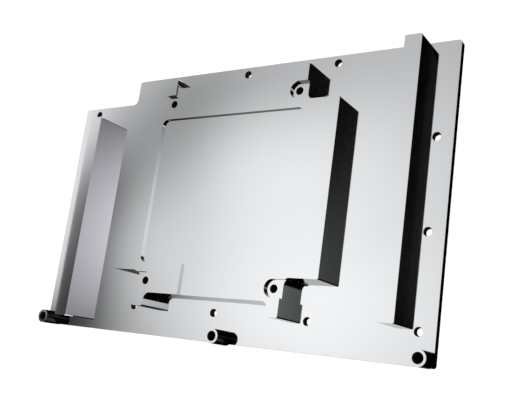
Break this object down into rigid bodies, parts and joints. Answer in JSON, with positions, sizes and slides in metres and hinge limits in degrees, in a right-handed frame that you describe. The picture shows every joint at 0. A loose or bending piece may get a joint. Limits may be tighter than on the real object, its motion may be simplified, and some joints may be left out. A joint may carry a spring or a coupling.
{
  "type": "gpu water block cold plate",
  "caption": "Nickel-plated copper cold plate with a raised centre block, corner posts, two side rails, tubular standoffs and screw holes round its edge.",
  "frame": {"origin": "middle of the footprint, on the flat wet face that the plate lies on", "axes": "+X along the length, +Y towards the notched long edge, +Z out of the side that faces the card"},
  "size_m": [0.168, 0.105, 0.0106],
  "materials": {
    "nickel_plate": "bright nickel plating on machined copper, near mirror"
  },
  "bodies": {
    "root": {"cold_plate": "nickel_plate"}
  },
  "joints": []
}
